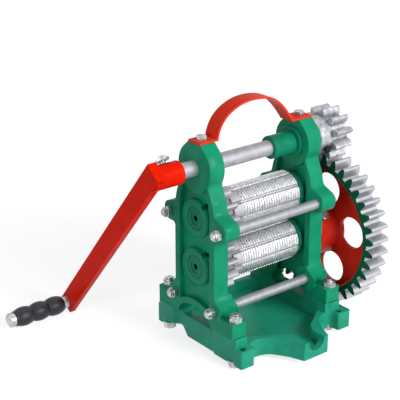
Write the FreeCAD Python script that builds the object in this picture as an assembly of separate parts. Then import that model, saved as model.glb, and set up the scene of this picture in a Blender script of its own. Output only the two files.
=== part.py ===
import FreeCAD, Part
import math
import os

# Hand-cranked two-roller cane press on a cast drip tray.
# Millimetres. X runs along the rollers from the crank side (-X) to the gear side (+X), -Y is the
# spout side, +Z is up. The origin is the centre of the bench-bolt pattern, on the lugs' underside.

os.makedirs("parts", exist_ok=True)

# ---------------------------------------------------------------- driving dimensions
MODULE = 6.0             # one cast tooth size for every gear
TEETH_GEAR = 37
TEETH_PINION = 11
TEETH_ROLLER = 12
PRESSURE = math.radians(20.0)
DRIVE_CENTRES = 145.0    # 1 mm over the standard distance, taken up by shifting the pinion
BACKLASH = 0.8
CREST = 1.0              # rounding of the cast tooth tips
GEAR_PHASE = 0.12        # a drive-gear tooth, from +Z towards -Y

AXIS_LOW = 120.0         # lower roller above the bench
PLATE_T = 25.0
PLATE_PITCH = 176.0
PLATE_MID = -4.0
WEB_RECESS = 7.0
DRAFT = 1.6              # taper of the cast pockets over their depth
SIDE_Y = 43.0
FOOT_Y = 82.0
SEAT_Z = 63.0            # spot face under the foot nuts
SEAT_R = 21.0            # and its cutter, which sinks into the flare of the foot
HEAD_R = 34.5
BOSS_R = 26.5
BOSS_SINK = 1.3
ARCH_Y = 36.0
ARCH_H = 21.5
ARCH_RIM = 9.0
OIL_HOLE_R = 4.2
EDGE = 0.8               # broken edges of the castings
TIE_PAD_R = 19.5         # raised pads round the lower tie bolts, inside the plates
JOURNAL_PAD_R = 28.0     # and round the journals, inside the far plate
PAD_T = 5.0

TRAY_H = 40.0            # joint between tray and plates
RIM_H = 26.0
SILL_H = 33.0
FLOOR_Z = 10.0
WALL = 8.0
SPOUT_X = 6.5
SPOUT_Y = 131.5
SPOUT_W = 44.0
CHANNEL_R = 14.5
TRAY_BACK = 84.0
TRAY_FRONT = 80.5
TRAY_LEDGE = 11.0        # tray beyond the far plate
CHANNEL_Y = 110.0        # inner end of the spout channel
LUG_FRONT = 96.5
LUG_W = 24.0
BENCH_Y = 88.0           # half the bench-bolt spacing along Y
BENCH_HOLE_R = 4.5
REAR_LUG_R = 8.5
RELIEF_Z = 13.5
SCOOP_W = 34.0
SPOT_Z = 4.5             # washers under the tray sit at this height

ROLLER_R = 31.0
ROLLER_GEAR_W = 19.5
FLUTES = 9
FLUTE_R = 2.4
SHAFT_R = 11.0
BUSH_R = 16.7
CAP_T = 3.5              # closed end of a cup bush
GREASE_R = 4.3
SLEEVE_R = 16.5
SLEEVE_L = 44.5

GEAR_STANDOFF = 28.5     # far plate to drive gear
GEAR_W = 32.0
RIM_R = 97.0
WEB_IN = 10.5            # web below the near face of the rim
WEB_T = 6.0
LIGHT_HOLES = 5
LIGHT_R = 23.5
LIGHT_AT = 63.5
LIGHT_PHASE = math.radians(7.2)
GEAR_HUB_R = 40.0
PINION_HUB_R = 28.5
KEY_W = 6.0
SET_SCREW_R = 4.0

TIE_UP = (54.0, 186.5)
TIE_LOW = (42.0, 67.5)
TIE_R = 4.75
TUBE_R = 7.0
TIE_HEX, TIE_HEAD, TIE_NUT = 14.3, 6.5, 8.0
FOOT_BOLT_Y = 73.6
FOOT_BOLT_R = 5.0
FOOT_HEX, FOOT_HEAD, FOOT_NUT = 17.0, 7.0, 7.0
COLLAR = 2.5             # round collar of a locking nut, over its hexagon
PROUD = 2.0              # bolt end beyond its nut
WASHER_R, WASHER_T = 9.5, 2.5

STRAP_W = 25.0
STRAP_T = 3.0
STRAP_BOLT_R = 4.0
STRAP_HOLE = 15.0        # depth of its tapped hole, short of the crank bearing
# Stations of the strap as fractions of the plate pitch, with heights over the plates.
STRAP_ARCH = [(-0.406, STRAP_T), (-0.381, 17.0), (-0.327, 30.0), (-0.253, 39.0), (-0.165, 45.0),
              (-0.051, 47.5), (0.063, 46.0), (0.159, 41.0), (0.23, 32.5), (0.287, 22.5), (0.335, 12.0),
              (0.372, STRAP_T)]

CRANK_R = 332.0          # crank axis to grip spindle
CRANK_LEAN = math.radians(39.4)    # arm at rest, from straight down towards +Y
ARM_STANDOFF = 76.5      # near plate to the outer face of the arm
ARM_W = 28.5
ARM_T = 14.0
ARM_T_END = 10.0
ARM_BEFORE = 17.7
ARM_AFTER = 9.5
HUB_R = 16.5
HUB_L = 51.0
CLAMP_AT = 33.0          # clamp bolt from the outer face of the arm
CLAMP_LEAN = math.radians(-38.0)
SPINDLE_R = 5.0
SPINDLE_HEAD_R, SPINDLE_HEAD_L = 10.6, 8.0
COLLAR_L = 10.5
GRIP_R = 14.25
GRIP_NECK_R = 11.25
GRIP_L = 81.0
GRIP_END = 3.0

RUN = 0.06               # radial clearance of a turning shaft in its bush
PLAY = 0.5               # axial gap between parts that turn against each other
HOLE = 0.4               # radial clearance of a bolt in a plain hole

# ---------------------------------------------------------------- derived
AXIS_UP = AXIS_LOW + MODULE * TEETH_ROLLER
AXIS_CRANK = AXIS_LOW + DRIVE_CENTRES
PLATE_TOP = AXIS_CRANK + HEAD_R
NEAR_X = PLATE_MID - PLATE_PITCH / 2
FAR_X = PLATE_MID + PLATE_PITCH / 2
NEAR_OUT, NEAR_IN = NEAR_X - PLATE_T / 2, NEAR_X + PLATE_T / 2
FAR_IN, FAR_OUT = FAR_X - PLATE_T / 2, FAR_X + PLATE_T / 2
BOSS_NEAR, BOSS_FAR = NEAR_OUT + BOSS_SINK, FAR_OUT - BOSS_SINK
ROLLER_X0, ROLLER_X1 = NEAR_IN + 21.5, FAR_IN - 7.5
GEAR_X = FAR_OUT + GEAR_STANDOFF
GEAR_END = GEAR_X + GEAR_W
PINION_X = GEAR_X - 2.0
GEAR_HUB_X, PINION_HUB_X = FAR_OUT + 3.5, FAR_OUT + 5.5
ARM_X = NEAR_OUT - ARM_STANDOFF
BENCH_X = PLATE_PITCH / 2 + 3.0
TRAY_X0, TRAY_X1 = NEAR_OUT, FAR_OUT + TRAY_LEDGE
LUG_NEAR_X, LUG_FAR_X = TRAY_X0 + 5.0, TRAY_X1 - LUG_W
BORE = SHAFT_R + RUN
TIES = [(s * y, z) for y, z in (TIE_UP, TIE_LOW) for s in (-1, 1)]
FEET = [(x, s * FOOT_BOLT_Y) for x in (NEAR_X, FAR_X) for s in (-1, 1)]

V = FreeCAD.Vector
EX, EY, EZ = V(1, 0, 0), V(0, 1, 0), V(0, 0, 1)


def save(name, *solids):
    shape = solids[0] if len(solids) == 1 else Part.makeCompound(list(solids))
    shape.exportStep("parts/" + name + ".step")


def rod(x0, x1, y, z, r):
    """A bar along X between two stations, given in either order."""
    return Part.makeCylinder(r, abs(x1 - x0), V(min(x0, x1), y, z), EX)


def post(x, y, z0, z1, r):
    return Part.makeCylinder(r, z1 - z0, V(x, y, z0))


def tube(x0, x1, y, z, r, r_bore):
    return rod(x0, x1, y, z, r).cut(rod(x0, x1, y, z, r_bore))


def turned(points, y, z):
    """Revolves a closed profile of (x, radius) points about an axis along X."""
    wire = Part.makePolygon([V(x, y + r, z) for x, r in points + points[:1]])
    return Part.Face(wire).revolve(V(0, y, z), EX, 360)


def slab(wire, along):
    return Part.Face(wire).extrude(along)


def upright(x):
    """Places profiles on the plane across the rollers at x."""
    return lambda u, v: V(x, u, v)


def level(z):
    """Places plans at height z."""
    return lambda u, v: V(u, v, z)


def rounded(corners, place):
    """A closed wire through corners (u, v, radius), put into space by place(u, v)."""
    starts, mids, ends = [], [], []
    for i, (u, v, r) in enumerate(corners):
        here = V(u, v, 0)
        back = (V(*corners[i - 1][:2], 0) - here).normalize()
        ahead = (V(*corners[(i + 1) % len(corners)][:2], 0) - here).normalize()
        half = back.getAngle(ahead) / 2
        starts.append(here + back * (r / math.tan(half)))
        mids.append(here + (back + ahead).normalize() * (r / math.sin(half) - r))
        ends.append(here + ahead * (r / math.tan(half)))
    edges = []
    for i, (u, v, r) in enumerate(corners):
        end, following = ends[i], starts[(i + 1) % len(corners)]
        if r > 0:
            a, m, b = (place(p.x, p.y) for p in (starts[i], mids[i], end))
            edges.append(Part.Arc(a, m, b).toShape())
        if (following - end).Length > 1e-6:
            edges.append(Part.makeLine(place(end.x, end.y), place(following.x, following.y)))
    return Part.Wire(edges)


def mirrored(half):
    """Completes a profile whose +Y side is given."""
    return half + [(-u, v, r) for u, v, r in reversed(half)]


def hexagon(base, axis, flats, height):
    """A bolt head or nut with chamfered corners."""
    ring = [V(math.cos(math.pi * i / 3), math.sin(math.pi * i / 3), 0) * (flats / math.sqrt(3))
            for i in range(7)]
    body = slab(Part.makePolygon(ring), V(0, 0, height))
    body = body.common(Part.makeCone(flats / 2 + 1.73 * height, flats / 2, height))
    body.Placement = FreeCAD.Placement(base, FreeCAD.Rotation(EZ, axis))
    return body


def leaning(lean):
    """Unit vector at an angle from +Z towards -Y."""
    return V(0, -math.sin(lean), math.cos(lean))


# ---------------------------------------------------------------- gear teeth
def involute(angle):
    return math.tan(angle) - angle


def flank_angle(radius, teeth, shift):
    """Half of an involute tooth's angle at a radius."""
    pitch_r = MODULE * teeth / 2
    base_r = pitch_r * math.cos(PRESSURE)
    at_pitch = math.pi / (2 * teeth) + 2 * shift * math.tan(PRESSURE) / teeth - BACKLASH / (4 * pitch_r)
    return at_pitch + involute(PRESSURE) - involute(math.acos(base_r / max(radius, base_r)))


def swept_path(teeth, mate_teeth, mate_tip, mate_shift, centres):
    """Radii and half-angles that the corner of a mating tooth reaches in a gear's space."""
    corner = flank_angle(mate_tip, mate_teeth, mate_shift)
    path = []
    for step in range(-400, 401):
        roll = step * 0.0015
        u = centres - mate_tip * math.cos(roll + corner)
        v = mate_tip * math.sin(roll + corner)
        path.append((math.hypot(u, v), math.atan2(v, u) - roll * mate_teeth / teeth))
    return path


def tooth_half(radius, teeth, shift, path):
    swept = [a for r, a in path if abs(r - radius) < 0.3]
    limit = math.pi / teeth - max(swept) - 0.15 / radius if swept else 1.0
    return min(flank_angle(radius, teeth, shift), limit)


def toothed_disc(teeth, shift, tip, root, mate, x, width, z, phase):
    """A gear blank with its teeth; one tooth is centred at phase, from +Z towards -Y."""
    path = swept_path(teeth, *mate)
    radii = [root + (tip - root) * t for t in (0.0, 0.14, 0.32, 0.52, 0.72, 0.88, 1.0)]
    halves = [tooth_half(r, teeth, shift, path) for r in radii]
    halves[-1] -= CREST / tip
    pitch = 2 * math.pi / teeth

    def at(r, angle):
        return V(x, 0, z) + leaning(angle) * r

    edges = []
    for i in range(teeth):
        mid = phase + i * pitch
        up = [at(r, mid - h) for r, h in zip(radii, halves)]
        down = [at(r, mid + h) for r, h in zip(radii, halves)][::-1]
        for side in (up, down):
            curve = Part.BSplineCurve()
            curve.interpolate(side)
            edges.append(curve.toShape())
        edges.append(Part.Arc(up[-1], at(tip, mid), down[0]).toShape())
        edges.append(Part.Arc(at(root, mid - pitch + halves[0]), at(root, mid - pitch / 2), up[0]).toShape())
    return slab(Part.Wire(Part.__sortEdges__(edges)), V(width, 0, 0))


# ---------------------------------------------------------------- side plates
OUTLINE = mirrored([(FOOT_Y, TRAY_H, 1.0), (FOOT_Y, SEAT_Z + 1, 1.0), (62.0, SEAT_Z + 1, 0.5),
                    (62.0, 72.0, 3.0), (SIDE_Y, 85.0, 15.0), (SIDE_Y, TIE_UP[1] - 13, 5.0),
                    (67.0, TIE_UP[1] - 13, 12.0), (67.0, TIE_UP[1] + 11.5, 10.5), (SIDE_Y - 0.5, 207.0, 9.0),
                    (38.5, 224.0, 20.0), (28.8, 245.5, 8.0), (42.4, 273.2, HEAD_R), (14.0, PLATE_TOP, 2.0)])
POCKET = ((32.5, 58.0, 7.0), (32.5, 208.0, 30.0), (25.0, 245.0, 5.0))


def arch(half, height, x0, x1):
    """An elliptical tunnel along X that stands on the tray joint."""
    centre = V(min(x0, x1), 0, TRAY_H)
    ellipse = Part.Ellipse(centre + EY * half, centre + EZ * height, centre)
    return slab(Part.Wire(ellipse.toShape()), V(abs(x1 - x0), 0, 0))


def pocket(x_face, x_floor, rim):
    """A cast pocket: its mouth at x_face, its tapered floor at x_floor, a rim left over the arch."""
    mouth, floor = (rounded(mirrored([(y - inset, z, r) for y, z, r in POCKET]), upright(x))
                    for x, inset in ((x_face, 0.0), (x_floor, DRAFT)))
    block = Part.makeLoft([mouth, floor], True, True)
    for z, r in ((AXIS_LOW, BOSS_R), (AXIS_UP, BOSS_R), (AXIS_CRANK, HEAD_R)):
        boss = Part.makeCone(r, r + DRAFT, WEB_RECESS, V(x_face, 0, z), EX * (x_floor - x_face))
        block = block.cut(boss)
    return block.cut(arch(ARCH_Y + rim, ARCH_H + rim, x_face, x_floor))


def side_plate():
    """The near plate without its crank bore: flanged web, bosses, ears, foot arch, spot-faced feet."""
    plate = slab(rounded(OUTLINE, upright(NEAR_OUT)), EX * PLATE_T)
    rim = [e for e in plate.Edges if e.BoundBox.XLength < 0.01 and e.BoundBox.ZMin > TRAY_H + 5]
    plate = plate.makeChamfer(EDGE, rim)
    plate = plate.cut([pocket(NEAR_OUT, NEAR_OUT + WEB_RECESS, ARCH_RIM),
                       pocket(NEAR_IN, NEAR_IN - WEB_RECESS, 0.0)])
    plate = plate.fuse([pad(NEAR_IN, y, z, TIE_PAD_R) for y, z in TIES[2:]])
    plate = plate.cut(arch(ARCH_Y, ARCH_H, NEAR_OUT - 1, NEAR_IN + PAD_T + 1))
    for z in (AXIS_LOW, AXIS_UP):
        plate = plate.cut(rod(NEAR_OUT - 1, NEAR_IN + 1, 0, z, BUSH_R))
        plate = plate.cut(rod(NEAR_OUT - 1, BOSS_NEAR, 0, z, BOSS_R))
        plate = plate.cut(rod(NEAR_OUT - 1, NEAR_OUT + 2 * WEB_RECESS, -23.0, z + 23.5, OIL_HOLE_R))
    for y, z in TIES:
        plate = plate.cut(rod(NEAR_OUT - 1, NEAR_IN + PAD_T + 1, y, z, TIE_R + HOLE))
    for y in (-FOOT_BOLT_Y, FOOT_BOLT_Y):
        plate = plate.cut(post(NEAR_X, y, SEAT_Z, SEAT_Z + 20, SEAT_R))
        plate = plate.cut(post(NEAR_X, y, TRAY_H - 1, SEAT_Z + 1, FOOT_BOLT_R + HOLE))
    return plate.cut(post(NEAR_X, 0, PLATE_TOP - STRAP_HOLE, PLATE_TOP + 1, STRAP_BOLT_R))


def pad(face, y, z, r):
    """A raised round pad inside the near plate, kept within the plate's outline."""
    return rod(face - 1, face + PAD_T, y, z, r).common(slab(rounded(OUTLINE, upright(face - 2)), EX * 20))


near_plate = side_plate()
far_plate = near_plate.mirror(V(PLATE_MID, 0, 0), EX)
for z in (AXIS_LOW, AXIS_UP):
    far_plate = far_plate.fuse(tube(FAR_IN - PAD_T, FAR_IN + 1, 0, z, JOURNAL_PAD_R, BUSH_R))
near_plate = near_plate.cut(rod(NEAR_OUT - 1, NEAR_IN, 0, AXIS_CRANK, SHAFT_R + HOLE))
save("near_side_plate", near_plate.cut(rod(NEAR_OUT + 4, NEAR_IN + 1, 0, AXIS_CRANK, BUSH_R)))
save("far_side_plate", far_plate.cut(rod(FAR_IN - 1, FAR_OUT + 1, 0, AXIS_CRANK, SLEEVE_R)))


# ---------------------------------------------------------------- bearings
def cup_bush(outward, z):
    """A bush with a closed outer end, which has a shallow ring and a greasing hole."""
    end = BOSS_FAR if outward > 0 else BOSS_NEAR
    profile = [(1.0, GREASE_R), (1.0, 9.0), (0.0, 9.0), (0.0, BUSH_R - 0.7), (0.7, BUSH_R),
               (PLATE_T - BOSS_SINK, BUSH_R), (PLATE_T - BOSS_SINK, BORE), (CAP_T, BORE), (CAP_T, GREASE_R)]
    return turned([(end - outward * depth, r) for depth, r in profile], 0, z)


save("near_upper_bush", cup_bush(-1, AXIS_UP))
save("near_lower_bush", cup_bush(-1, AXIS_LOW))
save("far_upper_bush", cup_bush(1, AXIS_UP))
save("far_lower_bush", tube(FAR_IN, BOSS_FAR, 0, AXIS_LOW, BUSH_R, BORE))
save("near_crank_bush", tube(NEAR_OUT + 4, NEAR_IN, 0, AXIS_CRANK, BUSH_R, BORE))
save("crank_sleeve_bush", turned([(FAR_OUT, BORE), (FAR_OUT, SLEEVE_R), (FAR_IN, SLEEVE_R),
                                  (FAR_IN, SLEEVE_R + 6.5), (FAR_IN - 4, SLEEVE_R + 6.5),
                                  (FAR_IN - 5, SLEEVE_R + 5.5), (FAR_IN - 5, SLEEVE_R),
                                  (FAR_IN - SLEEVE_L + 1.5, SLEEVE_R), (FAR_IN - SLEEVE_L, SLEEVE_R - 1.5),
                                  (FAR_IN - SLEEVE_L, BORE)], 0, AXIS_CRANK))

# ---------------------------------------------------------------- rollers
ROLLER_TIP = MODULE * (TEETH_ROLLER + 2) / 2 - 0.4
ROLLER_ROOT = MODULE * (TEETH_ROLLER - 2.5) / 2
KEY_X0, KEY_X1 = GEAR_HUB_X + 4, PINION_X + GEAR_W - 3


def key(z, x0, x1, slack):
    """A parallel key on top of a shaft; slack widens it into its keyway."""
    return Part.makeBox(x1 - x0, KEY_W + 2 * slack, KEY_W + slack,
                        V(x0, -KEY_W / 2 - slack, z + SHAFT_R - KEY_W / 2))


def roller(z, phase, x_end):
    """Fluted roller, timing gear and both journals in one piece."""
    mate = (TEETH_ROLLER, ROLLER_TIP, 0.0, MODULE * TEETH_ROLLER)
    x0, x_start = ROLLER_X0 - ROLLER_GEAR_W, BOSS_NEAR + CAP_T + PLAY
    gear = toothed_disc(TEETH_ROLLER, 0.0, ROLLER_TIP, ROLLER_ROOT, mate, x0, ROLLER_GEAR_W, z, phase)
    journal = rod(x_start, x_end, 0, z, SHAFT_R)
    shoulders = rod(NEAR_IN + PLAY, FAR_IN - PLAY, 0, z, SHAFT_R + 5)
    body = turned([(x0 + 1, 0), (x0 + 1, SHAFT_R), (ROLLER_X0 - 1, SHAFT_R), (ROLLER_X0 - 1, ROLLER_ROOT - 2),
                   (ROLLER_X0, ROLLER_ROOT - 2), (ROLLER_X0, ROLLER_R - 0.8), (ROLLER_X0 + 0.8, ROLLER_R),
                   (ROLLER_X1 - 1.5, ROLLER_R), (ROLLER_X1, ROLLER_R - 1.5), (ROLLER_X1, 0)], 0, z)
    for i in range(FLUTES):
        groove = V(0, 0, z) + leaning(2 * math.pi * (i + 0.4) / FLUTES) * ROLLER_R
        body = body.cut(rod(ROLLER_X0, ROLLER_X1, groove.y, groove.z, FLUTE_R))
    return gear.fuse([body, journal, shoulders]).removeSplitter()


lower_roller = roller(AXIS_LOW, math.pi / TEETH_ROLLER, GEAR_END + 2)
save("lower_roller", lower_roller.cut(key(AXIS_LOW, KEY_X0, KEY_X1, 0.0)))
save("upper_roller", roller(AXIS_UP, 0.0, BOSS_FAR - CAP_T - PLAY))

# ---------------------------------------------------------------- drive gear and pinion
TEETH_SUM = TEETH_GEAR + TEETH_PINION
WORKING = math.acos(MODULE * TEETH_SUM / 2 * math.cos(PRESSURE) / DRIVE_CENTRES)
SHIFT = (involute(WORKING) - involute(PRESSURE)) * TEETH_SUM / (2 * math.tan(PRESSURE))
GEAR_TIP = MODULE * (TEETH_GEAR + 2) / 2
GEAR_ROOT = MODULE * (TEETH_GEAR - 2.5) / 2
PINION_TIP = DRIVE_CENTRES - GEAR_ROOT - 1.5
PINION_ROOT = DRIVE_CENTRES - GEAR_TIP - 1.5


def set_screw(x, z, lean, hub_r, flats, head, proud=2.0):
    """A hexagon-headed screw through a hub onto its shaft, with its head proud of the hub."""
    out = leaning(lean)
    foot = V(x, 0, z) + out * (SHAFT_R + 0.05)
    length = hub_r - SHAFT_R + proud
    screw = Part.makeCylinder(SET_SCREW_R, length, foot, out)
    return screw.fuse(hexagon(foot + out * length, out, flats, head)).removeSplitter()


def screw_hole(x, z, lean, hub_r):
    return Part.makeCylinder(SET_SCREW_R, hub_r, V(x, 0, z) + leaning(lean) * (SHAFT_R / 2), leaning(lean))


gear = toothed_disc(TEETH_GEAR, 0.0, GEAR_TIP, GEAR_ROOT, (TEETH_PINION, PINION_TIP, SHIFT, DRIVE_CENTRES),
                    GEAR_X, GEAR_W, AXIS_LOW, GEAR_PHASE)
web_near = GEAR_X + WEB_IN
web_far = web_near + WEB_T
for mouth, floor in ((GEAR_X, web_near), (GEAR_END, web_far)):
    gear = gear.cut(turned([(mouth, GEAR_HUB_R), (floor, GEAR_HUB_R + 1.5), (floor, RIM_R - 5),
                            (mouth, RIM_R)], 0, AXIS_LOW))
gear = gear.fuse(rod(GEAR_HUB_X, GEAR_X + 1, 0, AXIS_LOW, GEAR_HUB_R)).removeSplitter()
for i in range(LIGHT_HOLES):
    a = LIGHT_PHASE + i * 2 * math.pi / LIGHT_HOLES
    gear = gear.cut(rod(web_near, web_far, -LIGHT_AT * math.cos(a), AXIS_LOW + LIGHT_AT * math.sin(a),
                        LIGHT_R))
GEAR_SCREW = (GEAR_HUB_X + 10, AXIS_LOW, math.radians(45), GEAR_HUB_R)
gear = gear.cut(rod(GEAR_HUB_X, GEAR_END, 0, AXIS_LOW, SHAFT_R + 0.02))
gear = gear.cut(key(AXIS_LOW, GEAR_HUB_X, GEAR_END, 0.05)).cut(screw_hole(*GEAR_SCREW))
save("drive_gear", gear)
save("gear_key", key(AXIS_LOW, KEY_X0, KEY_X1, 0.0))
save("gear_set_screw", set_screw(*GEAR_SCREW, 13.0, 6.0))

# A gear space reaches the line of centres from the -Y side, and a pinion tooth fills it.
space = GEAR_PHASE - math.pi / TEETH_GEAR
pinion = toothed_disc(TEETH_PINION, SHIFT, PINION_TIP, PINION_ROOT, (TEETH_GEAR, GEAR_TIP, 0.0, DRIVE_CENTRES),
                      PINION_X, GEAR_W, AXIS_CRANK, math.pi - space * TEETH_GEAR / TEETH_PINION)
pinion = pinion.fuse(turned([(PINION_HUB_X, 0), (PINION_HUB_X, PINION_HUB_R - 1.5),
                             (PINION_HUB_X + 1.5, PINION_HUB_R), (PINION_X + 1, PINION_HUB_R),
                             (PINION_X + 1, 0)], 0, AXIS_CRANK)).removeSplitter()
PINION_SCREW = (PINION_HUB_X + 12, AXIS_CRANK, math.radians(115), PINION_HUB_R)
PINION_END = PINION_X + GEAR_W
pinion = pinion.cut(rod(PINION_HUB_X, PINION_END, 0, AXIS_CRANK, SHAFT_R + 0.02))
pinion = pinion.cut(key(AXIS_CRANK, PINION_HUB_X, PINION_END, 0.05))
save("pinion", pinion.cut(screw_hole(*PINION_SCREW)))
save("pinion_key", key(AXIS_CRANK, KEY_X0, KEY_X1, 0.0))
save("pinion_set_screw", set_screw(*PINION_SCREW, 10.0, 4.0))

# ---------------------------------------------------------------- crank
SHAFT_X0, SHAFT_X1 = ARM_X + 5, PINION_END + 2
crank_shaft = turned([(SHAFT_X0, 0), (SHAFT_X0, SHAFT_R - 1), (SHAFT_X0 + 1, SHAFT_R),
                      (SHAFT_X1 - 1, SHAFT_R), (SHAFT_X1, SHAFT_R - 1), (SHAFT_X1, 0)], 0, AXIS_CRANK)
save("crank_shaft", crank_shaft.cut(key(AXIS_CRANK, KEY_X0, KEY_X1, 0.0)))


def on_arm(x, along, across):
    """A point given by its distance along the arm from the crank axis, and across it."""
    s, c = math.sin(CRANK_LEAN), math.cos(CRANK_LEAN)
    return V(x, along * s + across * c, AXIS_CRANK - along * c + across * s)


arm_edge = [(ARM_X, -ARM_BEFORE), (ARM_X, CRANK_R + ARM_AFTER), (ARM_X + ARM_T_END, CRANK_R + ARM_AFTER),
            (ARM_X + ARM_T, -ARM_BEFORE), (ARM_X, -ARM_BEFORE)]
arm = slab(Part.makePolygon([on_arm(x, along, -ARM_W / 2) for x, along in arm_edge]),
           on_arm(0, 0, ARM_W) - on_arm(0, 0, 0))
arm = arm.makeFillet(EDGE, [e for e in arm.Edges if e.Length > CRANK_R])
hub = turned([(ARM_X + 4, 0), (ARM_X + 4, HUB_R), (ARM_X + HUB_L - 1.5, HUB_R),
              (ARM_X + HUB_L, HUB_R - 1.5), (ARM_X + HUB_L, 0)], 0, AXIS_CRANK)
grip_at = on_arm(0, CRANK_R, 0)
CLAMP = (ARM_X + CLAMP_AT, AXIS_CRANK, CLAMP_LEAN, HUB_R)
arm = arm.fuse(hub).removeSplitter().cut(rod(SHAFT_X0, 0, 0, AXIS_CRANK, SHAFT_R))
arm = arm.cut(rod(ARM_X, ARM_X + ARM_T, grip_at.y, grip_at.z, SPINDLE_R)).cut(screw_hole(*CLAMP))
save("crank_arm", arm)
clamp_bolt = set_screw(*CLAMP, 15.0, 5.0, 5.0)
flange_at = V(CLAMP[0], 0, AXIS_CRANK) + leaning(CLAMP_LEAN) * (HUB_R + 3.5)
save("crank_clamp_bolt", clamp_bolt.fuse(Part.makeCylinder(10.5, 2.5, flange_at, leaning(CLAMP_LEAN))))

# ---------------------------------------------------------------- spindle and grip
grip_x1 = ARM_X - COLLAR_L - PLAY
grip_x0 = grip_x1 - GRIP_L
head_x = grip_x0 - PLAY
tail_x = ARM_X + ARM_T_END + 6
save("grip_spindle", turned([(head_x - SPINDLE_HEAD_L, 0), (head_x - SPINDLE_HEAD_L, SPINDLE_HEAD_R - 2),
                             (head_x - SPINDLE_HEAD_L + 1.5, SPINDLE_HEAD_R), (head_x, SPINDLE_HEAD_R),
                             (head_x, SPINDLE_R), (tail_x - 1, SPINDLE_R), (tail_x, SPINDLE_R - 1),
                             (tail_x, 0)], grip_at.y, grip_at.z))
collar = hexagon(V(ARM_X, grip_at.y, grip_at.z), -EX, 17.0, COLLAR_L)
save("spindle_nut", collar.cut(rod(ARM_X - COLLAR_L, ARM_X, grip_at.y, grip_at.z, SPINDLE_R)))


def grip_point(x, r):
    return V(x, grip_at.y + r, grip_at.z)


barrel = (GRIP_L - GRIP_END) / 3
stations = [(grip_x1, GRIP_NECK_R), (grip_x1, SPINDLE_R + RUN), (grip_x0, SPINDLE_R + RUN),
            (grip_x0, GRIP_NECK_R), (grip_x0 + GRIP_END, GRIP_NECK_R)]
outline = [Part.makeLine(grip_point(*a), grip_point(*b)) for a, b in zip(stations, stations[1:])]
for i in range(3):
    a = grip_x0 + GRIP_END + i * barrel
    outline.append(Part.Arc(grip_point(a, GRIP_NECK_R), grip_point(a + barrel / 2, GRIP_R),
                            grip_point(a + barrel, GRIP_NECK_R)).toShape())
save("grip_sleeve", Part.Face(Part.Wire(outline)).revolve(grip_at, EX, 360))

# ---------------------------------------------------------------- tie bolts and spacers
nut_end = NEAR_OUT - TIE_NUT - COLLAR
tie_bolts = [rod(nut_end - PROUD, FAR_OUT + 1, y, z, TIE_R).fuse(
    hexagon(V(FAR_OUT, y, z), EX, TIE_HEX, TIE_HEAD)).removeSplitter() for y, z in TIES]
tie_nuts = [hexagon(V(NEAR_OUT, y, z), -EX, TIE_HEX, TIE_NUT).fuse(
    rod(nut_end, NEAR_OUT - 1, y, z, TIE_HEX / 2 - 0.9)).removeSplitter().cut(
    rod(nut_end, NEAR_OUT, y, z, TIE_R)) for y, z in TIES]
tubes = [tube(NEAR_IN + pad_t, FAR_IN - pad_t, y, z, TUBE_R, TIE_R + HOLE)
         for (y, z), pad_t in zip(TIES, (0.0, 0.0, PAD_T, PAD_T))]
save("tie_bolts", *tie_bolts)
save("tie_nuts", *tie_nuts)
save("upper_spacer_tubes", *tubes[:2])
save("lower_spacer_tubes", *tubes[2:])

# ---------------------------------------------------------------- drip tray
LUG_Y0 = -LUG_FRONT
throat = [(-49.5, -TRAY_FRONT, 30.0), (-30.5, -110.0, 20.0), (-SPOUT_W / 2, -SPOUT_Y, 1.0)]
waist = TRAY_X0 + 7.5
plan = ([(TRAY_X0, TRAY_BACK, 4.0), (TRAY_X0, 48.0, 7.0), (waist, 41.0, 7.0), (waist, -34.0, 3.0),
         (LUG_NEAR_X, -38.0, 3.0), (LUG_NEAR_X, LUG_Y0, 3.0), (LUG_NEAR_X + LUG_W, LUG_Y0, 3.0),
         (LUG_NEAR_X + LUG_W, -TRAY_FRONT, 10.5)]
        + [(SPOUT_X + u, v, r) for u, v, r in throat] + [(SPOUT_X - u, v, r) for u, v, r in throat[::-1]]
        + [(LUG_FAR_X, -TRAY_FRONT, 10.5), (LUG_FAR_X, LUG_Y0, 3.0), (TRAY_X1, LUG_Y0, 3.0),
           (TRAY_X1, TRAY_BACK, 4.0)])
plan_wire = rounded(plan, level(0))
half_sill = [(TRAY_BACK, 0, 0), (TRAY_BACK, TRAY_H, 1.5), (40.0, TRAY_H, 6.0), (33.0, SILL_H, 6.0)]
sills = slab(rounded(mirrored(half_sill), upright(NEAR_OUT - 1)), EX * (PLATE_T + 1)).fuse(
    slab(rounded(mirrored(half_sill), upright(FAR_IN)), EX * PLATE_T)).common(slab(plan_wire, EZ * TRAY_H))
tray = slab(plan_wire, EZ * RIM_H).fuse(sills)
back = TRAY_BACK - WALL
inner = FAR_IN + 3.0
basin = [(NEAR_IN, back, 28.0), (NEAR_IN, -56.0, 24.0), (-36.0, -80.0, 18.0),
         (SPOUT_X - 24, -91.0, 12.0), (SPOUT_X - CHANNEL_R, -108.0, 8.0), (SPOUT_X - CHANNEL_R, -122.0, 1.0),
         (SPOUT_X + CHANNEL_R, -122.0, 1.0), (SPOUT_X + CHANNEL_R, -108.0, 8.0), (SPOUT_X + 24, -93.0, 12.0),
         (45.0, -84.5, 16.0), (inner, -63.0, 14.0), (inner, back, 28.0)]
tray = tray.cut(slab(rounded(basin, level(FLOOR_Z)), EZ * TRAY_H))
tray = tray.cut(Part.makeCylinder(CHANNEL_R, SPOUT_Y + 1 - CHANNEL_Y,
                                  V(SPOUT_X, -SPOUT_Y - 1, FLOOR_Z + CHANNEL_R), EY))
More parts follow.
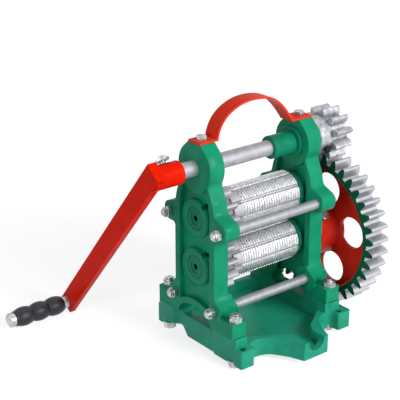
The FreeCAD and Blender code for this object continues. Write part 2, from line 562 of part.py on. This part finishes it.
# A scooped relief below each back foot, rear lugs, washer seats and bolt holes.
scoop = [(25.0, -5.0, 0), (25.0, 0.0, 0), (36.0, RELIEF_Z, 8.0), (76.0, RELIEF_Z, 10.0),
         (TRAY_BACK + 6, RELIEF_Z + 6, 0), (TRAY_BACK + 6, -5.0, 0)]
for x in (TRAY_X0 - 1, TRAY_X1 + 1 - SCOOP_W):
    tray = tray.cut(slab(rounded(scoop, upright(x)), EX * SCOOP_W))
for x in (-BENCH_X, BENCH_X):
    tray = tray.fuse([post(x, BENCH_Y, 0, RIM_H, REAR_LUG_R),
                      Part.makeBox(2 * REAR_LUG_R, 10, RIM_H, V(x - REAR_LUG_R, BENCH_Y - 10, 0))])
for x, y in FEET:
    if y > 0:
        tray = tray.fuse(post(x, y, SPOT_Z, RELIEF_Z + 8, WASHER_R + 0.5))
    tray = tray.cut(post(x, y, 0, SPOT_Z, WASHER_R + 0.9)).cut(post(x, y, 0, TRAY_H, FOOT_BOLT_R + HOLE))
for x in (-BENCH_X, BENCH_X):
    for y in (-BENCH_Y, BENCH_Y):
        tray = tray.cut(post(x, y, 0, TRAY_H, BENCH_HOLE_R))
save("base_tray", tray.removeSplitter())

# ---------------------------------------------------------------- foot bolts
under = SPOT_Z - WASHER_T
nut_top = SEAT_Z + FOOT_NUT + COLLAR
bolts, nuts, washers = [], [], []
for x, y in FEET:
    stem = post(x, y, under - 1, nut_top + PROUD, FOOT_BOLT_R)
    bolts.append(stem.fuse(hexagon(V(x, y, under), -EZ, FOOT_HEX, FOOT_HEAD)).removeSplitter())
    collar = post(x, y, SEAT_Z + 1, nut_top, FOOT_HEX / 2 - 0.9)
    nut = hexagon(V(x, y, SEAT_Z), EZ, FOOT_HEX, FOOT_NUT).fuse(collar).removeSplitter()
    nuts.append(nut.cut(post(x, y, SEAT_Z, nut_top, FOOT_BOLT_R)))
    washers.append(post(x, y, under, SPOT_Z, WASHER_R).cut(post(x, y, under, SPOT_Z, FOOT_BOLT_R + HOLE)))
save("foot_bolts", *bolts)
save("foot_nuts", *nuts)
save("foot_washers", *washers)

# ---------------------------------------------------------------- carrying strap
outer_curve, under_curve = Part.BSplineCurve(), Part.BSplineCurve()
arch_line = [(PLATE_MID + u * PLATE_PITCH, h) for u, h in STRAP_ARCH]
outer_curve.interpolate([V(x, 0, PLATE_TOP + h) for x, h in arch_line])
first, last = outer_curve.FirstParameter, outer_curve.LastParameter
under_points = []
for i in range(13):
    t = first + (last - first) * i / 12
    way = outer_curve.tangent(t)[0]
    under_points.append(outer_curve.value(t) + V(way.z, 0, -way.x) * STRAP_T)
under_curve.interpolate(under_points)


def strap_lines(*stations):
    points = [V(x, 0, PLATE_TOP + h) for x, h in stations]
    return [Part.makeLine(a, b) for a, b in zip(points, points[1:])]


near_foot, far_foot = under_points[0], under_points[-1]
edges = strap_lines(arch_line[0], (NEAR_OUT, STRAP_T), (NEAR_OUT, 0.0), (near_foot.x, 0.0),
                    (near_foot.x, near_foot.z - PLATE_TOP))
edges += [under_curve.toShape(), outer_curve.toShape()]
edges += strap_lines((far_foot.x, far_foot.z - PLATE_TOP), (far_foot.x, 0.0), (FAR_OUT, 0.0),
                     (FAR_OUT, STRAP_T), arch_line[-1])
strap = slab(Part.Wire(Part.__sortEdges__(edges)), EY * STRAP_W)
strap.translate(EY * (-STRAP_W / 2))
strap_bolts = []
for x in (NEAR_X, FAR_X):
    strap = strap.cut(post(x, 0, PLATE_TOP, PLATE_TOP + STRAP_T, STRAP_BOLT_R + HOLE))
    stem = post(x, 0, PLATE_TOP - STRAP_HOLE + 1.5, PLATE_TOP + STRAP_T + 1, STRAP_BOLT_R)
    strap_bolts.append(stem.fuse(hexagon(V(x, 0, PLATE_TOP + STRAP_T), EZ, 13.0, 5.5)).removeSplitter())
save("strap_handle", strap)
save("strap_bolts", *strap_bolts)
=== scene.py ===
import math

import bmesh
import bpy
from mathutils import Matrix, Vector


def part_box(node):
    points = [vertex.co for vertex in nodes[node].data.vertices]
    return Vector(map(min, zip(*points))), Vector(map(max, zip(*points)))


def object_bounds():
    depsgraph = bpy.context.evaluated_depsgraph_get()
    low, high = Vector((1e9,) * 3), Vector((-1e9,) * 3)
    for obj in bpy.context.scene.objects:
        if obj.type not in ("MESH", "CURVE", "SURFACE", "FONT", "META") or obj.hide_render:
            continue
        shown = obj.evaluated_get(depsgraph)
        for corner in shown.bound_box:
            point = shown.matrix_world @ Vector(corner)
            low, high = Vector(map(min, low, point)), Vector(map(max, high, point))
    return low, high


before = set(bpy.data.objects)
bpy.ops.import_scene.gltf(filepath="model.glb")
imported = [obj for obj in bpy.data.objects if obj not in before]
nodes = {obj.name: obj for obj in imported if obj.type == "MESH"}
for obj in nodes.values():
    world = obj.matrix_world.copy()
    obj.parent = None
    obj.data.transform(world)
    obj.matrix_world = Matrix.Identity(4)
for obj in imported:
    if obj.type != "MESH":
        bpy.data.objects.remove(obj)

# Hand-cranked cane press: finishes, carved details, camera and light, in metres in the frame of the CAD.
# X runs along the rollers from the crank side to the gear side, -Y is the spout side, +Z is up.

MM = 0.001
cad_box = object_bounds()
low_axis = (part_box("far_lower_bush")[0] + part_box("far_lower_bush")[1]) / 2
up_axis = (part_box("far_upper_bush")[0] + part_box("far_upper_bush")[1]) / 2
ROLLER_R, BUSH_R = 31 * MM, 16.7 * MM
GROOVES_FROM, GROOVES_TO = -40 * MM, 61 * MM
JOURNAL_END = -90 * MM       # below this x the rollers' journals in their bearings get painted shade
RIM_INSIDE, TOOTH_ROOT = 96.6 * MM, 101.0 * MM


# ---------------------------------------------------------------- node wiring
def rgb(red, green, blue):
    """A linear colour from 8-bit display values."""
    def linear(value):
        share = value / 255
        return share / 12.92 if share <= 0.04045 else ((share + 0.055) / 1.055) ** 2.4

    return (linear(red), linear(green), linear(blue), 1.0)


def add(tree, kind, values=None, **settings):
    """A new node with its settings, and each input given a number or another node's output."""
    node = tree.nodes.new(kind)
    for name, value in settings.items():
        setattr(node, name, value)
    for key, value in (values or {}).items():
        if isinstance(value, bpy.types.NodeSocket):
            tree.links.new(value, node.inputs[key])
        else:
            node.inputs[key].default_value = value
    return node


def calc(tree, operation, a, b=0.0):
    return add(tree, "ShaderNodeMath", {0: a, 1: b}, operation=operation).outputs[0]


def blend(tree, share, a, b):
    """Colour a where share is 0, and b where it is 1."""
    return add(tree, "ShaderNodeMix", {0: share, 6: a, 7: b}, data_type="RGBA").outputs[2]


def stretch(tree, value, low, high):
    """0 at low, 1 at high, and clamped outside."""
    return add(tree, "ShaderNodeMapRange", {"Value": value, "From Min": low, "From Max": high}).outputs[0]


def noise(tree, place, size, detail=2.0):
    """Soft noise whose blotches are about size metres wide."""
    values = {"Vector": place, "Scale": 1 / size, "Detail": detail}
    return add(tree, "ShaderNodeTexNoise", values).outputs["Fac"]


# Colour of the painted shade in the hollows of painted pieces.
PAINTED_SHADE = rgb(1, 8, 6)
# Colour of the painted shade on the rollers' hollows and on the journals inside the bearings.
PAINTED_SHADE_STEEL = rgb(10, 12, 13)
TURNED_METALLIC = 0.65


class Finish:
    """A material with its shader, its place on the piece and the piece's softened edges."""

    def __init__(self, name, roughness, metallic=0.0, edge=0.8 * MM, sheen=0.5):
        self.material = bpy.data.materials.new(name)
        self.material.use_nodes = True
        self.tree = self.material.node_tree
        self.shader = self.tree.nodes["Principled BSDF"]
        self.shader.inputs["Metallic"].default_value = metallic
        self.shader.inputs["Roughness"].default_value = roughness
        self.shader.inputs["Specular IOR Level"].default_value = sheen
        spot = add(self.tree, "ShaderNodeTexCoord")
        self.place, self.facing = spot.outputs["Object"], spot.outputs["Normal"]
        self.bevel = add(self.tree, "ShaderNodeBevel", {"Radius": edge}, samples=6).outputs[0]

    def corner(self):
        """1 on an edge, 0 on a flat."""
        geometry = add(self.tree, "ShaderNodeNewGeometry")
        bent = add(self.tree, "ShaderNodeVectorMath", {0: self.bevel, 1: geometry.outputs["Normal"]},
                   operation="DOT_PRODUCT")
        return stretch(self.tree, bent.outputs["Value"], 0.995, 0.9)

    def hollow(self, reach, open_share, shut_share):
        """0 in the open, 1 deep in a hole or crack, judged over reach metres."""
        shaded = add(self.tree, "ShaderNodeAmbientOcclusion", {"Distance": reach}, samples=6).outputs["AO"]
        return stretch(self.tree, shaded, open_share, shut_share)

    def axes(self):
        return add(self.tree, "ShaderNodeSeparateXYZ", {0: self.place}).outputs

    def radius(self, axis):
        """Distance from a line along X through axis."""
        y, z = self.axes()[1:]
        across = calc(self.tree, "SUBTRACT", y, axis.y)
        up = calc(self.tree, "SUBTRACT", z, axis.z)
        squares = [calc(self.tree, "POWER", side, 2.0) for side in (across, up)]
        return calc(self.tree, "SQRT", calc(self.tree, "ADD", *squares))

    def close(self, colour, height, depth, rough=None):
        """Sends colour, roughness and a bump of that depth in metres to the shader."""
        bump = add(self.tree, "ShaderNodeBump", {"Height": height, "Normal": self.bevel, "Distance": depth})
        self.tree.links.new(colour, self.shader.inputs["Base Color"])
        self.tree.links.new(bump.outputs[0], self.shader.inputs["Normal"])
        if rough is not None:
            self.tree.links.new(rough, self.shader.inputs["Roughness"])
        return self.material


# ---------------------------------------------------------------- finishes
def cast_paint(name, shade, bright, chip, roughness=0.38, sheen=0.13):
    """Enamel sprayed on a sand casting: broad unevenness, fine grain, thin paint on the edges, painted shade
    in hollows.
    """
    finish = Finish(name, roughness, sheen=sheen)
    tree = finish.tree
    broad = noise(tree, finish.place, 22 * MM)
    grain = noise(tree, finish.place, 1.3 * MM, 3.0)
    colour = blend(tree, stretch(tree, broad, 0.35, 0.65), shade, bright)
    patches = stretch(tree, noise(tree, finish.place, 5 * MM, 4.0), 0.42, 0.62)
    worn = calc(tree, "MULTIPLY", finish.corner(), patches)
    colour = blend(tree, calc(tree, "MULTIPLY", worn, 0.35), colour, chip)
    # Painted shade: the paint darkens in hollows and cracks, where shade falls.
    colour = blend(tree, finish.hollow(12 * MM, 0.4, 0.2), colour, PAINTED_SHADE)
    height = calc(tree, "ADD", calc(tree, "MULTIPLY", broad, 0.8), calc(tree, "MULTIPLY", grain, 0.35))
    rough = calc(tree, "ADD", roughness - 0.06, calc(tree, "MULTIPLY", broad, 0.12))
    return finish.close(colour, height, 0.25 * MM, rough)


def bush_paint():
    """Enamel over the closed bearings, with painted shade in the joint between each one and its plate, and
    in hollows.
    """
    finish = Finish("bush_paint", 0.36, sheen=0.13)
    tree = finish.tree
    broad = noise(tree, finish.place, 16 * MM)
    grain = noise(tree, finish.place, 1.3 * MM, 3.0)
    reach = calc(tree, "MINIMUM", finish.radius(low_axis), finish.radius(up_axis))
    colour = blend(tree, stretch(tree, broad, 0.35, 0.65), rgb(8, 126, 94), rgb(14, 140, 106))
    # Painted shade: a dark ring where the gap between bush and plate lies in shadow.
    joint_shade = calc(tree, "MULTIPLY", stretch(tree, reach, BUSH_R - 1.3 * MM, BUSH_R - 0.6 * MM), 0.85)
    joint_shade = calc(tree, "MULTIPLY", joint_shade, calc(tree, "LESS_THAN", reach, BUSH_R + 1 * MM))
    colour = blend(tree, joint_shade, colour, rgb(3, 30, 22))
    # Painted shade in hollows.
    colour = blend(tree, finish.hollow(6 * MM, 0.45, 0.15), colour, PAINTED_SHADE)
    height = calc(tree, "ADD", calc(tree, "MULTIPLY", broad, 0.6), calc(tree, "MULTIPLY", grain, 0.35))
    return finish.close(colour, height, 0.2 * MM)


def bare_metal(name, shade, bright, roughness, grain_size=0.9 * MM, depth=0.06 * MM, edge=0.5 * MM):
    """Uncoated or plated metal with slight blotches, a fine grain and painted shade in its hollows."""
    finish = Finish(name, roughness, 1.0, edge)
    tree = finish.tree
    blotch = noise(tree, finish.place, 7 * MM, 3.0)
    grain = noise(tree, finish.place, grain_size, 2.0)
    colour = blend(tree, stretch(tree, blotch, 0.35, 0.68), shade, bright)
    # Painted shade: darker grey in hollows, where shade falls.
    colour = blend(tree, finish.hollow(4 * MM, 0.75, 0.2), colour, rgb(58, 62, 64))
    rough = calc(tree, "ADD", roughness - 0.07, calc(tree, "MULTIPLY", grain, 0.14))
    return finish.close(colour, grain, depth, rough)


def turned_steel(name, shade, bright, roughness, pitch=0.35 * MM):
    """Lathe-turned bar along X, with its fine tool marks."""
    finish = Finish(name, roughness, TURNED_METALLIC, 0.4 * MM)
    tree = finish.tree
    squash = add(tree, "ShaderNodeVectorMath", {0: finish.place, 1: (1 / pitch, 9.0, 9.0)},
                 operation="MULTIPLY").outputs[0]
    marks = noise(tree, squash, 1.0)
    blotch = noise(tree, finish.place, 12 * MM, 3.0)
    colour = blend(tree, stretch(tree, blotch, 0.35, 0.68), shade, bright)
    rough = calc(tree, "ADD", roughness - 0.06, calc(tree, "MULTIPLY", marks, 0.12))
    return finish.close(colour, marks, 0.05 * MM, rough)


def roller_steel():
    """Blotched bright steel: dull at the plain end, with painted shade in grooves, flutes, tooth gaps and
    bearings.
    """
    finish = Finish("roller_steel", 0.4, 1.0, 0.3 * MM)
    tree = finish.tree
    blotch = noise(tree, finish.place, 4 * MM, 4.0)
    grain = noise(tree, finish.place, 0.7 * MM)
    reach = calc(tree, "MINIMUM", finish.radius(low_axis), finish.radius(up_axis))
    colour = blend(tree, stretch(tree, blotch, 0.34, 0.68), rgb(194, 194, 199), rgb(238, 238, 241))
    plain = calc(tree, "LESS_THAN", finish.axes()[0], GROOVES_FROM - 2 * MM)
    colour = blend(tree, plain, colour, blend(tree, blotch, rgb(158, 158, 163), rgb(190, 190, 194)))
    # Painted shade: darker towards the bottom of each groove.
    groove_shade = calc(tree, "MULTIPLY", stretch(tree, reach, ROLLER_R - 0.4 * MM, ROLLER_R - 1.8 * MM), 0.5)
    colour = blend(tree, groove_shade, colour, rgb(84, 86, 92))
    # Painted shade: dark in hollows and on the journals inside the bearings, where shade falls.
    inside = calc(tree, "LESS_THAN", finish.axes()[0], JOURNAL_END)
    painted_shade_share = calc(tree, "MAXIMUM", finish.hollow(10 * MM, 0.36, 0.16), inside)
    colour = blend(tree, painted_shade_share, colour, PAINTED_SHADE_STEEL)
    rough = calc(tree, "ADD", 0.4, calc(tree, "MULTIPLY", calc(tree, "ADD", blotch, plain), 0.2))
    return finish.close(colour, grain, 0.07 * MM, rough)


def gear_paint():
    """Red web and hub, green sides on the rim and teeth, bare metal on the tooth flanks."""
    finish = Finish("gear_paint", 0.4, 0.0, 0.8 * MM, 0.12)
    tree = finish.tree
    reach = finish.radius(low_axis)
    side = calc(tree, "ABSOLUTE", add(tree, "ShaderNodeSeparateXYZ", {0: finish.facing}).outputs[0])
    broad = noise(tree, finish.place, 18 * MM)
    grain = noise(tree, finish.place, 1.2 * MM, 3.0)
    red = blend(tree, stretch(tree, broad, 0.35, 0.65), rgb(208, 36, 23), rgb(228, 46, 30))
    green = blend(tree, stretch(tree, broad, 0.35, 0.65), rgb(4, 90, 57), rgb(9, 104, 69))
    silver = blend(tree, stretch(tree, grain, 0.3, 0.7), rgb(158, 160, 165), rgb(196, 197, 201))
    on_rim = calc(tree, "GREATER_THAN", reach, RIM_INSIDE)
    on_tooth = calc(tree, "GREATER_THAN", reach, TOOTH_ROOT)
    flank = calc(tree, "MULTIPLY", on_tooth, calc(tree, "LESS_THAN", side, 0.6))
    colour = blend(tree, flank, blend(tree, on_rim, red, green), silver)
    height = calc(tree, "ADD", calc(tree, "MULTIPLY", broad, 0.6), calc(tree, "MULTIPLY", grain, 0.4))
    tree.links.new(flank, finish.shader.inputs["Metallic"])
    return finish.close(colour, height, 0.22 * MM)


def grip_plastic():
    """Black moulded plastic with a faint satin grain, and a bumped crease with painted shade between its
    three swells.
    """
    finish = Finish("grip_plastic", 0.42, sheen=0.35)
    tree = finish.tree
    start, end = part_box("grip_sleeve")[0].x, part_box("grip_sleeve")[1].x
    along = calc(tree, "SUBTRACT", finish.axes()[0], start)
    swells = calc(tree, "MULTIPLY", along, 3 * math.pi / (end - start))
    crease_and_shade = stretch(tree, calc(tree, "ABSOLUTE", calc(tree, "SINE", swells)), 0.16, 0.03)
    grain = noise(tree, finish.place, 0.7 * MM, 3.0)
    broad = noise(tree, finish.place, 9 * MM)
    colour = blend(tree, broad, rgb(22, 24, 29), rgb(46, 49, 58))
    # Painted shade darkens the creases; the same mask also sinks them as a bump.
    colour = blend(tree, crease_and_shade, colour, rgb(5, 6, 8))
    rough = calc(tree, "ADD", 0.34, calc(tree, "MULTIPLY", broad, 0.16))
    height = calc(tree, "SUBTRACT", calc(tree, "MULTIPLY", grain, 0.2), crease_and_shade)
    return finish.close(colour, height, 0.4 * MM, rough)


finishes = {
    "green_paint": cast_paint("green_paint", rgb(10, 143, 103), rgb(18, 153, 112), rgb(86, 190, 152)),
    # A lighter copy of the green paint for the tray: painted light for the lower part.
    "tray_paint": cast_paint("tray_paint", rgb(28, 154, 122), rgb(38, 164, 132), rgb(96, 196, 162),
                             0.34, 0.16),
    "bush_paint": bush_paint(),
    "bearing_metal": bare_metal("bearing_metal", rgb(176, 160, 128), rgb(206, 190, 158), 0.34),
    "gear_paint": gear_paint(),
    "pinion_metal": bare_metal("pinion_metal", rgb(150, 151, 156), rgb(194, 195, 199), 0.6,
                               1.6 * MM, 0.16 * MM),
    "red_arm": cast_paint("red_arm", rgb(234, 28, 3), rgb(243, 34, 5), rgb(254, 120, 84), 0.32, 0.04),
    "red_strap": cast_paint("red_strap", rgb(236, 58, 38), rgb(242, 64, 43), rgb(248, 130, 108), 0.36, 0.03),
    "shaft_steel": turned_steel("shaft_steel", rgb(166, 166, 171), rgb(184, 184, 189), 0.6),
    "roller_steel": roller_steel(),
    "tube_steel": turned_steel("tube_steel", rgb(147, 150, 154), rgb(170, 173, 177), 0.55, 0.8 * MM),
    "zinc": bare_metal("zinc", rgb(150, 156, 158), rgb(206, 210, 213), 0.36,
                       1.6 * MM, 0.12 * MM, 0.35 * MM),
    "key_steel": bare_metal("key_steel", rgb(120, 122, 126), rgb(156, 158, 162), 0.4),
    "dark_screw": bare_metal("dark_screw", rgb(44, 44, 50), rgb(74, 74, 82), 0.42),
    "grip_plastic": grip_plastic(),
}
for node in nodes.values():
    for holder in node.material_slots:
        holder.material = finishes[holder.material.name.split(".")[0]]
nodes["base_tray"].material_slots[0].material = finishes["tray_paint"]    # paler copy of the plates' green: painted light, lifting the darker lower part


# ---------------------------------------------------------------- carved details
GROOVE_PITCH, GROOVE_DEPTH, GROOVE_HALF = 4.5 * MM, 1.7 * MM, 1.5 * MM
GROOVE_FLARE, GROOVE_OVER = 0.4 * MM, 0.45 * MM    # how far a ring runs on past its groove and the face
RING_SIDES, TUBE_SIDES, HOLE_SIDES = 144, 96, 48
PAST_FACE, SCREW_HOLE_DEPTH = 1 * MM, 14 * MM
HUB_DEPTH, HUB_R, HUB_OLD_R = 15.2 * MM, 20 * MM, 41.2 * MM
# Screw holes beside the near bearings: y, height over the roller's axis, radius.
UPPER_SCREW, LOWER_SCREW = (-18.2 * MM, 21.4 * MM, 4.3 * MM), (-17.0 * MM, 23.4 * MM, 4.0 * MM)


def turn_section(work, section, y, z, sides, capped=False):
    """Adds a closed shell, (x, radius) points turned round (y, z), joined up or capped at both ends."""
    rings = []
    for i in range(sides):
        turn = 2 * math.pi * i / sides
        across, up = math.cos(turn), math.sin(turn)
        rings.append([work.verts.new((x, y + r * across, z + r * up)) for x, r in section])
    for i in range(sides):
        here, following = rings[i - 1], rings[i]
        for j in range(1 if capped else 0, len(section)):
            work.faces.new((here[j - 1], here[j], following[j], following[j - 1]))
    if capped:
        for end in (0, -1):
            work.faces.new([ring[end] for ring in rings])


def carve(node, name, work):
    """Takes the shells out of a CAD node by modifiers alone, through a hidden object of that name."""
    bmesh.ops.recalc_face_normals(work, faces=work.faces)
    mesh = bpy.data.meshes.new(name)
    work.to_mesh(mesh)
    work.free()
    cutter = bpy.data.objects.new(name, mesh)
    bpy.context.scene.collection.objects.link(cutter)
    cutter.hide_render = True
    joined = nodes[node].modifiers.new("joined", "WELD")
    joined.merge_threshold = 0.001 * MM
    cut = nodes[node].modifiers.new("carved", "BOOLEAN")
    cut.operation, cut.solver, cut.object = "DIFFERENCE", "EXACT", cutter


# V-section grooves round the rollers.
for node, axis in (("lower_roller", low_axis), ("upper_roller", up_axis)):
    work = bmesh.new()
    x, half, brim = GROOVES_FROM, GROOVE_HALF + GROOVE_FLARE, ROLLER_R + GROOVE_OVER
    while x < GROOVES_TO:
        section = [(x - half, brim), (x, ROLLER_R - GROOVE_DEPTH), (x + half, brim)]
        turn_section(work, section, axis.y, axis.z, RING_SIDES)
        x += GROOVE_PITCH
    carve(node, "groove_cutter_" + node, work)

# Screw holes beside the near bearings, where the plate's floor meets each boss.
near_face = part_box("near_side_plate")[0].x
work = bmesh.new()
for (y, height, r), axis in ((UPPER_SCREW, up_axis), (LOWER_SCREW, low_axis)):
    section = [(near_face - PAST_FACE, r), (near_face + SCREW_HOLE_DEPTH, r)]
    turn_section(work, section, y, axis.z + height, HOLE_SIDES, capped=True)
carve("near_side_plate", "screw_hole_cutter", work)

# The drive gear's hub is slimmer behind the web, so the light holes are open.
gear_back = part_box("drive_gear")[1].x
start, end = gear_back - HUB_DEPTH, gear_back + PAST_FACE
work = bmesh.new()
turn_section(work, [(start, HUB_OLD_R), (end, HUB_OLD_R), (end, HUB_R), (start, HUB_R)],
             low_axis.y, low_axis.z, TUBE_SIDES)
carve("drive_gear", "hub_cutter", work)


# ---------------------------------------------------------------- floor, light and camera
AMBIENT = 0.13
FLOOR_LEVEL, FLOOR_SHOWN = 0.55, 0.76
FADE_FROM, FADE_TO = 0.5, 2.5    # the floor fades to white between these distances


def pale(name, level, shown):
    """A surface of that diffuse level, which the camera and reflections see lifted towards white."""
    material = bpy.data.materials.new(name)
    material.use_nodes = True
    tree = material.node_tree
    tree.nodes.clear()
    place = add(tree, "ShaderNodeTexCoord").outputs["Object"]
    cool = (level * 0.99, level * 0.99, level, 1)
    tint = blend(tree, noise(tree, place, 0.4), (level, level, level, 1), cool)
    diffuse = add(tree, "ShaderNodeBsdfDiffuse", {"Color": tint}).outputs[0]
    path = add(tree, "ShaderNodeLightPath").outputs
    seen = calc(tree, "MAXIMUM", path["Is Camera Ray"], path["Is Glossy Ray"])
    reach = add(tree, "ShaderNodeVectorMath", {0: place}, operation="LENGTH").outputs["Value"]
    far = calc(tree, "MULTIPLY", stretch(tree, reach, FADE_FROM, FADE_TO), 1 - shown)
    strength = calc(tree, "MULTIPLY", seen, calc(tree, "ADD", shown, far))
    lift = add(tree, "ShaderNodeEmission", {"Strength": strength}).outputs[0]
    both = add(tree, "ShaderNodeAddShader", {0: diffuse, 1: lift}).outputs[0]
    add(tree, "ShaderNodeOutputMaterial", {0: both})
    return material


FLOOR_Z = cad_box[0].z - 0.3 * MM
bpy.ops.mesh.primitive_plane_add(size=30, location=(0, 0, FLOOR_Z))
floor = bpy.context.object
floor.name = "floor"
floor.data.materials.append(pale("floor_white", FLOOR_LEVEL, FLOOR_SHOWN))

world = bpy.data.worlds.new("studio")
bpy.context.scene.world = world
world.use_nodes = True
air = world.node_tree
rays = add(air, "ShaderNodeLightPath").outputs
seen = calc(air, "MAXIMUM", calc(air, "MAXIMUM", rays["Is Camera Ray"], rays["Is Glossy Ray"]),
            rays["Is Transmission Ray"])
strength = calc(air, "ADD", AMBIENT, calc(air, "MULTIPLY", seen, 1 - AMBIENT))
air.links.new(strength, air.nodes["Background"].inputs["Strength"])
air.nodes["Background"].inputs["Color"].default_value = (1, 1, 1, 1)


AIM = Vector((0, 0, 0.15))


def lamp(name, place, power, size, tint=(1, 1, 1)):
    """A square soft light aimed at the middle of the press."""
    data = bpy.data.lights.new(name, "AREA")
    data.energy, data.size, data.color = power, size, tint
    holder = bpy.data.objects.new(name, data)
    holder.location = place
    holder.rotation_euler = (AIM - holder.location).to_track_quat("-Z", "Y").to_euler()
    bpy.context.scene.collection.objects.link(holder)


lamp("key", (0.5, -2.2, 1.2), 56, 1.2)
lamp("side", (-2.2, -0.5, 0.8), 16, 1.2, (0.9, 0.93, 1.0))
lamp("top", (0.2, 0.3, 2.4), 6, 1.4)

CAMERA_AT = (-989.35 * MM, -1125.68 * MM, 790.81 * MM)
CAMERA_DOWN, CAMERA_TURN = math.radians(21.756), math.radians(-38.489)
LENS, SENSOR = 103.5, 36.0
camera_data = bpy.data.cameras.new("camera")
camera_data.lens, camera_data.sensor_width = LENS, SENSOR
camera = bpy.data.objects.new("camera", camera_data)
camera.location = CAMERA_AT
camera.rotation_euler = (math.pi / 2 - CAMERA_DOWN, 0, CAMERA_TURN)
bpy.context.scene.collection.objects.link(camera)
bpy.context.scene.camera = camera
bpy.context.scene.view_settings.view_transform = "Standard"
